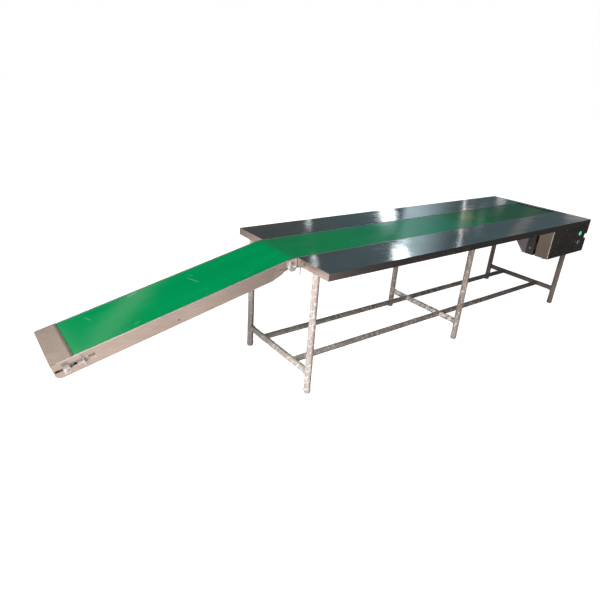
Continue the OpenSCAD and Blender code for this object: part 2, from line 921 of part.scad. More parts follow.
module button_bodies() {
    color([0.12, 0.13, 0.13]) on_table() {
        translate([green_x, 0, green_z]) button_body(green_d, green_d + 12, green_out - 7);
        translate([white_x, 0, white_z]) button_body(white_d, white_d + 14, white_out - 9);
        translate([knob_x, 0, knob_z]) difference() {
            union() {
                y_rod(34, -4, 4);
                y_rod(21.8, -1, 8);
                translate([-15, sheet_t, -15]) cube([30, 36, 30]);
            }
            y_rod(10 + fit, -5, 26);
        }
    }
}

module plunger(lens, out) {
    y_rod(lens, -out + 3, out + 12);
    y_rod(lens - 6, -out, 4);
}

module green_button() {
    color([0.05, 0.75, 0.4]) on_table() translate([green_x, 0, green_z]) plunger(green_d, green_out);
}

module white_button() {
    color([0.97, 0.98, 0.97]) on_table() translate([white_x, 0, white_z]) plunger(white_d, white_out);
}

module selector_knob() {
    color([0.8, 0.8, 0.78]) on_table() translate([knob_x, 0, knob_z]) {
        y_rod(26, -10, 5.7);
        y_rod(10, -6, 24);
        translate([-4.5, -knob_out, -13]) cube([9, knob_out - 9, 26]);
    }
}

// Speed controller on the back wall of the box.
module controller() {
    color([0.6, 0.6, 0.58]) on_table()
        translate([box_x + 90, box_w - sheet_t - 62, box_z + 45]) cube([150, 62, 130]);
}

// Bolts of the knuckle, the bearings and the tray, the panel's screws and the
// cable gland under the control box.
module frame_bolts() {
    z = table_h;
    color(zinc) on_table() {
        both_sides() translate([-35, 0, z - 26]) {
            hex_y(16, side_y - 11, 7);
            y_rod(10, side_y - 5, 11.5);
        }
        both_sides() for (s = [-34, 34])
            translate([drive_x + s, 0, drive_z]) hex_y(13, side_y - 14, 6);
        translate([0, tray_y + 32, tray_z + 59]) hex_x(13, tray_x - pan_t - 6, 6);
        for (x = [box_x + 12, box_x + 212, table_l - 12])
            for (h = [box_z + 10, skirt_z - 9])
                translate([x, 0, h]) y_rod(9, -2, 2);
        translate([box_x + 40, 52, box_z]) difference() {
            union() {
                translate([0, 0, -14]) cylinder(d = 26, h = 14);
                translate([0, 0, -1]) cylinder(d = 19.8, h = 10);
            }
            translate([0, 0, -15]) cylinder(d = 10, h = 30);
        }
    }
}

near_wing();
far_wing();
end_strip();
near_rail();
far_rail();
near_slope_plate();
far_slope_plate();
knuckle_plates();
table_bed();
slope_bed();
belt_table_top();
belt_slope_top();
belt_head_wrap();
belt_tail_wrap();
belt_return_table();
belt_return_slope();
drive_drum();
drum_bearings();
tail_drum();
tail_axle();
takeup_blocks();
takeup_screw_near();
takeup_screw_far();
takeup_brackets();
snub_roller();
idler_a();
idler_b();
knuckle_roller();
hold_down_roller();
roller_axles();
axle_bolts();
tail_cover();
cover_screws();
leg_near_left();
leg_far_left();
leg_near_mid();
leg_far_mid();
leg_near_right();
leg_far_right();
crossbar_left();
crossbar_mid();
crossbar_right();
stretcher_near();
stretcher_far();
wing_beams();
drum_sprocket();
gearbox_sprocket();
drive_chain();
gearbox();
motor();
motor_fan();
drive_tray();
control_box();
front_panel();
button_bodies();
green_button();
white_button();
selector_knob();
controller();
frame_bolts();
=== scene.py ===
"""Looks of the packing table with its inclined belt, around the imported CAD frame."""

import json
import math

import bpy
from mathutils import Matrix, Vector, noise


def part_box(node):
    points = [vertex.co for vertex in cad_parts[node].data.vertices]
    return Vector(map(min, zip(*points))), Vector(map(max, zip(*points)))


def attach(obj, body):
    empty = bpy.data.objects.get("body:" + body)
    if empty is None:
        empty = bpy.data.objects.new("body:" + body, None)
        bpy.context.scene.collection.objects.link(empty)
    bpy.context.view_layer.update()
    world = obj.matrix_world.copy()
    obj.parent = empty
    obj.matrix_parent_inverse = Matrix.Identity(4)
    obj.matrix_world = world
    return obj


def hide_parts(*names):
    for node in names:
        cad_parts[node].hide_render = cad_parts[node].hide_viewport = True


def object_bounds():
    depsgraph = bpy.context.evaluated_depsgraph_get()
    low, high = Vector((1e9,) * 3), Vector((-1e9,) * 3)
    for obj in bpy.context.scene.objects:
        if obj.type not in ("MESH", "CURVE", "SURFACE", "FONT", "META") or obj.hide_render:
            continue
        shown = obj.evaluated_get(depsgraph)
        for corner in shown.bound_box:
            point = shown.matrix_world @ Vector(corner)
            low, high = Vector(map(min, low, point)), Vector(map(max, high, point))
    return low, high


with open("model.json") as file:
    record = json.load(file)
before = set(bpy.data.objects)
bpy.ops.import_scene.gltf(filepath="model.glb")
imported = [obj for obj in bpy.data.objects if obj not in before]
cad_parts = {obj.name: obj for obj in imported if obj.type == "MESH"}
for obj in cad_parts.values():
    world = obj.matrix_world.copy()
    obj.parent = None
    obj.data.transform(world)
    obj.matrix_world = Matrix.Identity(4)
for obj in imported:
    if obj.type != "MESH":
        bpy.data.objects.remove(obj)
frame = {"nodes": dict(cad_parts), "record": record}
CAD_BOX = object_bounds()
TAU = 2 * math.pi

# ---------------------------------------------------------------- camera

# The camera stands off the near left corner of the table, turned as three unit vectors.
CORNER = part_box("near_wing")[0]
EYE = Vector((CORNER.x - 1.643298, CORNER.y - 1.889406, 1.806994))
RIGHT = Vector((0.80775022, -0.58592949, 0.06500939))
DOWN = Vector((-0.19136321, -0.36490411, -0.91116689))
AHEAD = Vector((0.55760175, 0.72355485, -0.40687673))
SENSOR = 36.0
FRAME_PIXELS = 600
FOCAL_PIXELS = 489.72
FOCAL = FOCAL_PIXELS / FRAME_PIXELS * SENSOR


def make_camera():
    data = bpy.data.cameras.new("camera")
    data.sensor_width = SENSOR
    data.lens = FOCAL
    data.clip_start, data.clip_end = 0.05, 200
    cam = bpy.data.objects.new("camera", data)
    bpy.context.collection.objects.link(cam)
    turn = Matrix((RIGHT, -DOWN, -AHEAD)).transposed()
    cam.matrix_world = Matrix.Translation(EYE) @ turn.to_4x4()
    bpy.context.scene.camera = cam


make_camera()

# ---------------------------------------------------------------- node helpers


class Graph:
    """Short words for building a node tree."""

    def __init__(self, tree):
        self.tree = tree
        tree.nodes.clear()

    def node(self, kind, **values):
        n = self.tree.nodes.new(kind)
        for key, value in values.items():
            setattr(n, key, value)
        return n

    def put(self, socket, value):
        if isinstance(value, bpy.types.NodeSocket):
            self.tree.links.new(value, socket)
        elif value is not None:
            if hasattr(socket.default_value, "__len__") and not hasattr(value, "__len__"):
                value = [value] * len(socket.default_value)
            if socket.type == "RGBA" and len(value) == 3:
                value = (*value, 1.0)
            socket.default_value = value

    def math(self, op, a, b=None):
        n = self.node("ShaderNodeMath", operation=op)
        for i, v in enumerate((a, b)):
            if v is not None:
                self.put(n.inputs[i], v)
        return n.outputs[0]

    def vec(self, op, a, b=None, scale=None):
        n = self.node("ShaderNodeVectorMath", operation=op)
        self.put(n.inputs[0], a)
        if b is not None:
            self.put(n.inputs[1], b)
        if scale is not None:
            self.put(n.inputs["Scale"], scale)
        return n.outputs["Value" if op in ("DOT_PRODUCT", "LENGTH", "DISTANCE") else "Vector"]

    def place(self, scale=(1, 1, 1), turn=(0, 0, 0), shift=(0, 0, 0)):
        c = self.node("ShaderNodeTexCoord")
        m = self.node("ShaderNodeMapping")
        self.put(m.inputs["Vector"], c.outputs["Object"])
        self.put(m.inputs["Scale"], scale)
        self.put(m.inputs["Rotation"], turn)
        self.put(m.inputs["Location"], shift)
        return m.outputs["Vector"]

    def xyz(self, vector=None):
        if vector is None:
            vector = self.node("ShaderNodeTexCoord").outputs["Object"]
        n = self.node("ShaderNodeSeparateXYZ")
        self.put(n.inputs[0], vector)
        return n.outputs

    def noise(self, vector, scale, detail=3.0, rough=0.55, warp=0.0):
        n = self.node("ShaderNodeTexNoise")
        self.put(n.inputs["Vector"], vector)
        self.put(n.inputs["Scale"], scale)
        self.put(n.inputs["Detail"], detail)
        self.put(n.inputs["Roughness"], rough)
        self.put(n.inputs["Distortion"], warp)
        return n.outputs["Fac"]

    def voronoi(self, vector, scale):
        n = self.node("ShaderNodeTexVoronoi")
        self.put(n.inputs["Vector"], vector)
        self.put(n.inputs["Scale"], scale)
        return n.outputs["Distance"]

    def span(self, value, lo, hi, a=0.0, b=1.0):
        """a below lo and b above hi, with a smooth step between; lo may be the greater."""
        n = self.node("ShaderNodeMapRange", interpolation_type="SMOOTHSTEP")
        for i, v in enumerate((value, lo, hi, a, b)):
            self.put(n.inputs[i], v)
        return n.outputs["Result"]

    def mix(self, fac, a, b):
        n = self.node("ShaderNodeMix", data_type="RGBA")
        self.put(n.inputs["Factor"], fac)
        self.put(n.inputs[6], a)
        self.put(n.inputs[7], b)
        return n.outputs[2]

    def edge(self, radius):
        n = self.node("ShaderNodeBevel", samples=4)
        self.put(n.inputs["Radius"], radius)
        return n.outputs["Normal"]

    def bump(self, height, strength=0.2, distance=0.001, normal=None):
        n = self.node("ShaderNodeBump")
        self.put(n.inputs["Height"], height)
        self.put(n.inputs["Strength"], strength)
        self.put(n.inputs["Distance"], distance)
        if normal is not None:
            self.put(n.inputs["Normal"], normal)
        return n.outputs["Normal"]


MATERIALS = {}


def surface(name, build, **constants):
    """A Principled material: build(graph) gives the linked sockets, the rest sit on the shader's own."""
    m = bpy.data.materials.new(name)
    m.use_nodes = True
    g = Graph(m.node_tree)
    shader = g.node("ShaderNodeBsdfPrincipled")
    out = g.node("ShaderNodeOutputMaterial")
    g.tree.links.new(shader.outputs[0], out.inputs["Surface"])
    for key, value in constants.items():
        g.put(shader.inputs[key.replace("_", " ")], value)
    for key, value in build(g).items():
        g.put(shader.inputs[key], value)
    MATERIALS[name] = m
    return m


# ---------------------------------------------------------------- materials


def wing_look(g):
    """Polished sheet on top; the folded skirts are satin, their warmer tone partly painted reflection, and
    the skirts facing -X are painted bright beige as a painted reflection.
    """
    grain = g.noise(g.place((1.2, 60, 60)), 9, 5, 0.6)
    patches = g.noise(g.place(), 2.3, 2)
    smear = g.noise(g.place((2, 14, 14)), 1.5, 3)
    facing = g.xyz(g.node("ShaderNodeNewGeometry").outputs["True Normal"])
    skirt = g.span(g.math("ABSOLUTE", facing[2]), 0.75, 0.5)
    # end: the skirts facing -X, which get a painted reflection below
    end = g.math("MULTIPLY", skirt, g.span(facing[0], -0.5, -0.75))
    tone = g.mix(g.span(patches, 0.35, 0.65), (0.55, 0.585, 0.60), (0.62, 0.655, 0.67))
    tone = g.mix(g.span(grain, 0.3, 0.7, 0.0, 0.2), tone, (0.46, 0.49, 0.50))
    # skirts warmer, partly their satin finish and partly painted reflection; the -X end skirts brighter, all
    # painted reflection
    tone = g.mix(g.math("MULTIPLY", skirt, 0.8), tone, (0.60, 0.575, 0.56))
    tone = g.mix(end, tone, (0.80, 0.71, 0.66))
    rough = g.math("ADD", g.span(grain, 0.3, 0.7, 0.045, 0.085), g.span(smear, 0.45, 0.7, 0.0, 0.04))
    rough = g.math("ADD", rough, g.math("MULTIPLY", skirt, 0.16))
    wave = g.noise(g.place(), 3.1, 2, 0.5)
    n = g.bump(wave, 0.35, 0.004, g.edge(0.002))
    n = g.bump(grain, 0.05, 0.0006, n)
    return {"Base Color": tone, "Roughness": rough, "Normal": n}


def satin(light, dark, low, high, scale=(1.2, 60, 60), blotch=3.0, dent=0.003):
    """Brushed metal between two tones; scale draws out the grain, dent is the depth of its waves."""
    def build(g):
        grain = g.noise(g.place(scale), 10, 5, 0.65)
        patches = g.noise(g.place(), blotch, 3)
        stain = g.noise(g.place((1, 1, 1), shift=(3, 1, 2)), 11, 4, 0.6)
        tone = g.mix(g.span(patches, 0.32, 0.68), dark, light)
        tone = g.mix(g.span(grain, 0.35, 0.65, 0.0, 0.3), tone, [c * 0.72 for c in dark])
        tone = g.mix(g.span(stain, 0.62, 0.8, 0.0, 0.35), tone, [min(1, c * 1.15) for c in light])
        rough = g.math("ADD", g.span(grain, 0.3, 0.7, low, high), g.span(stain, 0.5, 0.75, 0, 0.08))
        n = g.bump(patches, 0.25, dent, g.edge(0.0015))
        n = g.bump(grain, 0.12, 0.0004, n)
        return {"Base Color": tone, "Roughness": rough, "Normal": n}
    return build


def enamel(colour, low, high, scale=260.0):
    """Paint or moulded plastic with a little dust on it."""
    def build(g):
        skin = g.noise(g.place(), scale, 2, 0.5)
        dust = g.noise(g.place(shift=(5, 5, 5)), 9, 5, 0.65)
        tone = g.mix(g.span(dust, 0.45, 0.75, 0, 0.5), colour, [min(1, c * 1.7 + 0.02) for c in colour])
        return {
            "Base Color": tone,
            "Roughness": g.span(dust, 0.3, 0.7, low, high),
            "Normal": g.bump(skin, 0.12, 0.0004),
        }
    return build


TRAY_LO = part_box("drive_tray")[0]


def tray_look(g):
    """Dark paint with dust; the tray's end plate behind its small cover has a paler face, a painted highlight
    broken up by the dust.
    """
    x = g.xyz()[0]
    facing = g.xyz(g.node("ShaderNodeNewGeometry").outputs["True Normal"])
    dust = g.noise(g.place(shift=(5, 5, 5)), 14, 5, 0.65)
    # end: the -X face of the end plate, where the painted highlight goes
    end = g.math("MULTIPLY", g.span(facing[0], -0.3, -0.6), g.span(x, TRAY_LO.x + 0.004, TRAY_LO.x + 0.007))
    end = g.math("MULTIPLY", end, g.span(x, TRAY_LO.x + 0.03, TRAY_LO.x + 0.02))
    tone = g.mix(g.span(dust, 0.45, 0.75, 0, 0.5), (0.055, 0.048, 0.056), (0.11, 0.10, 0.115))
    # painted highlight on the end face, broken up by the dust
    tone = g.mix(g.math("MULTIPLY", end, g.span(dust, 0.2, 0.7, 0.7, 1.0)), tone, (0.30, 0.265, 0.275))
    return {
        "Base Color": tone,
        "Roughness": g.span(dust, 0.3, 0.7, 0.30, 0.5),
        "Normal": g.bump(g.noise(g.place(), 260, 2, 0.5), 0.12, 0.0004),
    }


def turned(colour, low, high, axis):
    """Lathe or brush marks that ring the axis of a round part."""
    stretch = [180, 180, 180]
    for i in range(3):
        if i != axis:
            stretch[i] = 3
    return satin(colour, [c * 0.8 for c in colour], low, high, tuple(stretch))


# Scuffs on the belt: place in plan from the table's corner, angle, half length, half width, strength.
SCUFFS = [(CORNER.x + a, CORNER.y + b, c, d, e, f) for a, b, c, d, e, f in (
    (-0.556, 0.535, -75, 0.060, 0.004, 0.55), (-0.545, 0.600, -70, 0.030, 0.003, 0.4),
    (-1.130, 0.590, -72, 0.035, 0.004, 0.5), (-0.870, 0.655, 10, 0.035, 0.012, 0.45),
    (-0.950, 0.345, 15, 0.020, 0.006, 0.4), (-0.300, 0.350, 5, 0.050, 0.003, 0.3),
    (0.600, 0.420, 3, 0.120, 0.003, 0.25), (1.350, 0.560, -4, 0.160, 0.003, 0.25))]


BELT_LO, BELT_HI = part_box("belt_table_top")
BELT_MID = (BELT_LO.y + BELT_HI.y) / 2
BELT_HALF = (BELT_HI.y - BELT_LO.y) / 2


def belt_look(g):
    """Green coated belt: faint cloudiness, rub lines along its run, specks, and tints placed by position:
    scuffs, a pale line along each edge, a teal band of painted reflection, and painted shade darkening it
    toward the drive end.
    """
    x, y, _ = g.xyz()
    weave = g.noise(g.place(), 900, 1, 0.5)
    cloud = g.noise(g.place((1, 3, 1)), 2.2, 3, 0.5)
    rub = g.noise(g.place((0.8, 26, 0.8)), 3.0, 4, 0.6)
    tone = g.mix(g.span(cloud, 0.3, 0.7), (0.0, 0.330, 0.098), (0.0, 0.365, 0.118))
    tone = g.mix(g.span(rub, 0.55, 0.8, 0.0, 0.14), tone, (0.004, 0.43, 0.19))
    speck = g.voronoi(g.place(), 26)
    tone = g.mix(g.span(speck, 0.0, 0.03, 0.25, 0.0), tone, (0.10, 0.46, 0.28))
    for mark in SCUFFS:
        tone = g.mix(stroke(g, x, y, *mark), tone, (0.22, 0.55, 0.38))
    off_mid = g.math("ABSOLUTE", g.math("SUBTRACT", y, BELT_MID))
    tone = g.mix(g.span(off_mid, BELT_HALF - 0.0045, BELT_HALF - 0.002, 0, 0.5), tone, (0.30, 0.50, 0.40))
    # painted reflection: a teal band of daylight across the middle of the table
    painted_teal_reflection = g.math("MULTIPLY", g.span(x, -0.4, 0.4), g.span(x, 1.0, 0.85, 0, 0.6))
    tone = g.mix(painted_teal_reflection, tone, (0.015, 0.35, 0.25))
    # painted shade: the belt darkens toward the drive end
    tone = g.mix(g.span(x, 0.35, 1.7, 0.0, 0.72), tone, (0.012, 0.045, 0.028))
    rough = g.math("ADD", g.span(cloud, 0.3, 0.7, 0.07, 0.12), g.span(rub, 0.5, 0.8, 0.0, 0.08))
    n = g.bump(weave, 0.04, 0.0003)
    n = g.bump(cloud, 0.15, 0.004, n)
    return {"Base Color": tone, "Roughness": rough, "Normal": n}


def stroke(g, x, y, px, py, angle, half_l, half_w, strength):
    """Mask of one short soft stroke on the belt, in plan."""
    c, s = math.cos(math.radians(angle)), math.sin(math.radians(angle))
    dx = g.math("SUBTRACT", x, px)
    dy = g.math("SUBTRACT", y, py)
    along = g.math("ABSOLUTE", g.math("ADD", g.math("MULTIPLY", dx, c), g.math("MULTIPLY", dy, s)))
    across = g.math("ABSOLUTE", g.math("SUBTRACT", g.math("MULTIPLY", dy, c), g.math("MULTIPLY", dx, s)))
    inside = g.math("MULTIPLY", g.span(along, half_l, half_l * 0.6), g.span(across, half_w, half_w * 0.3))
    return g.math("MULTIPLY", inside, strength)


def film_look(g):
    """Clear film wound on steel pipe: pale creases over the brown-grey metal, the creases partly painted
    highlight, with painted light toward the left end and painted shade toward the right end and at the far
    left.
    """
    lap = g.node("ShaderNodeAttribute", attribute_name="crease").outputs["Fac"]
    streak = g.noise(g.place((24, 24, 7), turn=(0.35, 0.5, 0.0)), 3.2, 4, 0.62, 0.7)
    fine = g.noise(g.place((60, 60, 30)), 4, 3, 0.6)
    shade = g.noise(g.place(), 5.0, 2)
    steel = g.mix(g.span(shade, 0.35, 0.65), (0.24, 0.195, 0.175), (0.40, 0.34, 0.31))
    x, y, z = g.xyz()
    # painted light: the steel is paler toward the left end
    steel = g.mix(g.span(x, 0.2, -0.8, 0.0, 0.65), steel, (0.68, 0.61, 0.58))
    # the pale creases are partly the film's own whitish crinkle, partly painted highlight
    pale = g.mix(g.span(fine, 0.35, 0.65), (0.78, 0.715, 0.685), (0.97, 0.93, 0.905))
    cover = g.math("MAXIMUM", g.span(streak, 0.50, 0.70, 0, 0.85), g.span(lap, 0.35, 0.75))
    # painted shade: the creases darken toward the right end
    pale = g.mix(g.span(x, 0.9, 2.2, 0.0, 0.85), pale, (0.27, 0.24, 0.225))
    tone = g.mix(cover, steel, pale)
    # painted shade: the far-left pipes are darker, most of all low down
    far_left = g.math("MULTIPLY", g.span(x, 0.3, -0.4), g.span(y, 0.0, 0.34))
    far_left = g.math("MULTIPLY", far_left, g.span(z, 0.6, 0.0, 0.25, 0.7))
    tone = g.mix(far_left, tone, (0.20, 0.17, 0.16))
    # painted shade: the whole pipe darkens strongly toward the right end
    tone = g.mix(g.span(x, 1.0, 2.1, 0.0, 0.6), tone, (0.085, 0.068, 0.066))
    return {
        "Base Color": tone,
        "Roughness": g.span(fine, 0.3, 0.7, 0.12, 0.30),
        "Metallic": g.span(cover, 0.0, 1.0, 0.3, 0.08),
        "Normal": g.bump(streak, 0.4, 0.0015),
    }


def lens_look(inner, rim):
    """Rippled coloured plastic that glows."""
    def build(g):
        ripple = g.voronoi(g.place((1, 1, 1)), 420)
        glow = g.mix(g.span(ripple, 0.0, 0.5), inner, rim)
        return {
            "Base Color": glow,
            "Emission Color": glow,
            "Roughness": g.span(ripple, 0, 0.6, 0.12, 0.3),
            "Normal": g.bump(ripple, 0.2, 0.0005),
        }
    return build


surface("wing_sheet", wing_look, Metallic=1.0, Anisotropic=0.25)
surface("frame_sheet", satin((0.74, 0.655, 0.60), (0.63, 0.55, 0.50), 0.24, 0.38), Metallic=1.0)
surface("bed_sheet", satin((0.62, 0.62, 0.60), (0.5, 0.5, 0.49), 0.3, 0.45), Metallic=1.0)
surface("belt", belt_look, Specular_IOR_Level=0.45, IOR=1.25)
surface("pipe", film_look)
surface("drum_steel", turned((0.42, 0.42, 0.43), 0.25, 0.4, 1), Metallic=1.0)
surface("zinc",
        satin((0.78, 0.75, 0.68), (0.66, 0.63, 0.58), 0.22, 0.36, (30, 30, 30), 40, 0.0002), Metallic=1.0)
surface("plated",
        satin((0.92, 0.87, 0.84), (0.82, 0.77, 0.74), 0.34, 0.48, (30, 30, 30), 40, 0.0002), Metallic=0.5)
surface("drive_metal", tray_look)
surface("motor_metal", enamel((0.085, 0.095, 0.125), 0.35, 0.55))
surface("chain_steel",
        satin((0.2, 0.19, 0.18), (0.13, 0.125, 0.12), 0.25, 0.45, (40, 40, 40), 60, 0.0002), Metallic=1.0)
surface("box_sheet",
        satin((0.40, 0.345, 0.29), (0.33, 0.28, 0.235), 0.26, 0.4, (60, 60, 1.2)), Metallic=1.0)
surface("panel_sheet", satin((0.30, 0.28, 0.265), (0.23, 0.215, 0.205), 0.12, 0.22), Metallic=0.85)
surface("switch_plastic", enamel((0.012, 0.013, 0.013), 0.22, 0.4), Coat_Weight=0.3)
surface("green_lens", lens_look((0.02, 0.62, 0.26), (0.0, 0.30, 0.12)), Emission_Strength=2.4)
surface("white_lens", lens_look((0.82, 0.94, 0.90), (0.60, 0.78, 0.72)), Emission_Strength=0.95)
surface("fan_plastic", enamel((0.02, 0.02, 0.02), 0.4, 0.6))
surface("controller_case", enamel((0.12, 0.12, 0.115), 0.45, 0.6))


BRIGHT = ("knuckle_plates", "takeup_blocks", "takeup_brackets", "takeup_screw_near", "takeup_screw_far")


def dress_nodes():
    """Each CAD node takes the material of its slot in the record; a few small plated ones are brighter."""
    slots = {}
    parts = frame["record"]["subparts"]
    for part in parts:
        slots[part.get("node", part.get("name"))] = part.get("material_slot", part.get("slot"))
    for name, obj in frame["nodes"].items():
        look = MATERIALS.get(slots.get(name) or "", None)
        if look is None:
            old = obj.data.materials[0].name if obj.data.materials else ""
            look = MATERIALS.get(old.split(".")[0], MATERIALS["frame_sheet"])
        obj.data.materials.clear()
        obj.data.materials.append(MATERIALS["plated"] if name in BRIGHT else look)


dress_nodes()

# ---------------------------------------------------------------- mesh helpers


def add_piece(name, verts, faces, look, body="frame", smooth=True, crease=None):
    """One mesh piece, pressed back inside the CAD box, with its look, slot and body."""
    low, high = CAD_BOX
    mesh = bpy.data.meshes.new(name)
    mesh.from_pydata([[min(max(v[i], low[i]), high[i]) for i in range(3)] for v in verts], [], faces)
    mesh.validate()
    mesh.update()
    if smooth:
        mesh.polygons.foreach_set("use_smooth", [True] * len(mesh.polygons))
    if crease is not None:
        layer = mesh.attributes.new("crease", "FLOAT", "POINT")
        layer.data.foreach_set("value", crease)
    mesh.materials.append(MATERIALS[look])
    obj = bpy.data.objects.new(name, mesh)
    bpy.context.collection.objects.link(obj)
    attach(obj, body)
    return obj


def side_axes(axis):
    """Two unit vectors square to the axis and to each other."""
    ref = Vector((0, 0, 1)) if abs(axis.z) < 0.9 else Vector((1, 0, 0))
    u = axis.cross(ref).normalized()
    return u, axis.cross(u).normalized()


def ring_faces(rings, n, closed=False):
    """Quads between rings of n points; closed joins the last ring to the first."""
    faces = []
    for i in range(rings if closed else rings - 1):
        a, b = i * n, (i + 1) % rings * n
        for k in range(n):
            m = (k + 1) % n
            faces.append((a + k, a + m, b + m, b + k))
    return faces


def lathe(name, centre, axis, profile, look, body="frame", n=48):
    """A closed turned piece: profile is (place along the axis, radius); it starts and ends on the axis."""
    axis = Vector(axis).normalized()
    u, v = side_axes(axis)
    centre = Vector(centre)
    verts = [centre + axis * profile[0][0]]
    for along, r in profile[1:-1]:
        for k in range(n):
            a = TAU * k / n
            verts.append(centre + axis * along + (u * math.cos(a) + v * math.sin(a)) * r)
    verts.append(centre + axis * profile[-1][0])
    last = len(verts) - 1
    faces = [(0, 1 + (k + 1) % n, 1 + k) for k in range(n)]
    faces += [tuple(1 + q for q in f) for f in ring_faces(len(profile) - 2, n)]
    start = 1 + (len(profile) - 3) * n
    faces += [(start + k, start + (k + 1) % n, last) for k in range(n)]
    return add_piece(name, verts, faces, look, body)


# ---------------------------------------------------------------- film on the pipes

# Metres, but for the sides: least gap to the pipe, crease height over it, pitch of the winding,
# step between rings along the pipe, sides round it, and the length over which a loose end flares.
FILM_GAP = 0.0005
FILM_CREASE = 0.0021
FILM_PITCH = 0.046
FILM_STEP = 0.005
FILM_SIDES = 40
FLARE_LENGTH = 0.03


def wrap(name, start, end, radius, seed, hand=1, flare_start=0.0, layers=0.0):
    """Film wound round a pipe and closed against it at both ends; hand is the wind, more layers are paler."""
    start, end = Vector(start), Vector(end)
    axis = (end - start).normalized()
    length = (end - start).length
    u, v = side_axes(axis)
    rows = max(6, int(length / FILM_STEP))
    verts, crease = [], []
    for i in range(rows + 1):
        along = length * i / rows
        for k in range(FILM_SIDES):
            a = TAU * k / FILM_SIDES
            turn = (along / FILM_PITCH * hand + k / FILM_SIDES
                    + 0.40 * noise.noise(Vector((along * 7, seed, math.cos(a))))) % 1.0
            patch = 0.55 + 1.1 * noise.noise(Vector((math.cos(a) * 1.2, math.sin(a) * 1.2 + seed, along * 9)))
            lap = max(0.0, 1 - abs(turn - 0.12) / 0.12) * min(1, max(0.1, patch))
            spot = Vector((math.cos(a) * 1.3 + seed, math.sin(a) * 1.3, along * 32))
            ridge = (1 - min(1, abs(noise.noise(spot)) * 3.2)) ** 2
            small = (1 - min(1, abs(noise.noise(spot * 2.7)) * 3.5)) ** 2
            rise = 0.55 * lap + 0.6 * ridge * (0.4 + 0.6 * noise.cell(spot * 0.6)) + 0.25 * small
            loose = flare_start * max(0, 1 - along / FLARE_LENGTH) ** 2
            loose *= 0.5 + 0.9 * abs(noise.noise(Vector((math.cos(a) * 2, math.sin(a) * 2, seed))))
            r = radius + FILM_GAP + FILM_CREASE * min(1, rise) + loose
            if i == rows or (i == 0 and not flare_start):
                r = radius + FILM_GAP * 0.5
            verts.append(start + axis * along + (u * math.cos(a) + v * math.sin(a)) * r)
            crease.append(min(1, 0.75 * lap + 0.5 * ridge * noise.cell(spot * 0.6) + 0.4 * small
                              + layers * (0.7 + 0.6 * noise.noise(spot * 0.8))))
    for along in (length, 0.0):
        for k in range(FILM_SIDES):
            a = TAU * k / FILM_SIDES
            verts.append(start + axis * along + (u * math.cos(a) + v * math.sin(a)) * (radius - 0.0008))
            crease.append(0.0)
    faces = ring_faces(rows + 3, FILM_SIDES, closed=True)
    return add_piece(name, verts, faces, "pipe", "frame", crease=crease)


ROWS = ("left", "mid", "right")
CROSSBAR_LAYERS = (0.35, 0.6, 0.0)


def wrap_pipes():
    """Sleeves on the legs, crossbars and stretchers, stopping short of each joint."""
    foot, top = 0.016, 0.004
    for seed, name in enumerate(("near_left", "near_mid", "near_right", "far_left", "far_mid", "far_right")):
        lo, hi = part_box("leg_" + name)
        cx, cy, r = (lo.x + hi.x) / 2, (lo.y + hi.y) / 2, (hi.x - lo.x) / 2
        wrap("film_leg_" + name, (cx, cy, foot), (cx, cy, hi.z - top), r, seed * 7.3 + 1,
             1 if seed % 2 else -1, flare_start=0.0026, layers=0.3 if name == "near_left" else 0.0)
    cross = {}
    for seed, name in enumerate(ROWS):
        lo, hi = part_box("crossbar_" + name)
        cx, cz, r = (lo.x + hi.x) / 2, (lo.z + hi.z) / 2, (hi.z - lo.z) / 2
        cross[name] = (lo, hi, r)
        wrap("film_crossbar_" + name, (cx, lo.y + 0.024, cz), (cx, hi.y - 0.024, cz), r, seed * 5.1 + 60, 1,
             layers=CROSSBAR_LAYERS[seed])
    for row, name in enumerate(("near", "far")):
        lo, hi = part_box("stretcher_" + name)
        cy, cz, r = (lo.y + hi.y) / 2, (lo.z + hi.z) / 2, (hi.z - lo.z) / 2
        for part, (p, q) in enumerate((("left", "mid"), ("mid", "right"))):
            wrap(f"film_stretcher_{name}_{part + 1}", (cross[p][1].x + 0.003, cy, cz),
                 (cross[q][0].x - 0.003, cy, cz), r, 90 + row * 13 + part * 31, -1)


wrap_pipes()

# ---------------------------------------------------------------- buttons


def lens(name, node, body, look):
    """A domed push-button cap in place of the plain plunger."""
    lo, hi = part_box(node)
    r = (hi.x - lo.x) / 2
    centre = ((lo.x + hi.x) / 2, lo.y, (lo.z + hi.z) / 2)
    depth = hi.y - lo.y
    dome = 0.0045
    profile = [(depth, 0), (depth, r), (dome + 0.0012, r)]
    profile += [(dome, r * 0.985)]
    for i in range(1, 9):
        a = math.pi / 2 * i / 9
        ripple = 0.00025 * math.cos(i * 2.4)
        profile.append((dome * (1 - math.sin(a)) + ripple + 0.0003, r * 0.96 * math.cos(a)))
    profile.append((0.0003, 0))
    cap = lathe(name, centre, (0, 1, 0), profile, look, body)
    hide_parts(node)


def bezel(name, node, width, height, look):
    """A rounded metal ring round a button or the selector knob, proud of the front panel."""
    lo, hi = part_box(node)
    r = (hi.x - lo.x) / 2
    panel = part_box("front_panel")[0].y
    cx, cz = (lo.x + hi.x) / 2, (lo.z + hi.z) / 2
    n, m = 56, 10
    verts = []
    for i in range(m):
        b = TAU * i / m
        rr = r + 0.0008 + width / 2 + width / 2 * math.cos(b)
        y = panel - height + 0.0016 * math.sin(b)
        for k in range(n):
            a = TAU * k / n
            verts.append((cx + rr * math.cos(a), y, cz + rr * math.sin(a)))
    add_piece(name, verts, ring_faces(m, n, closed=True), look, "frame")


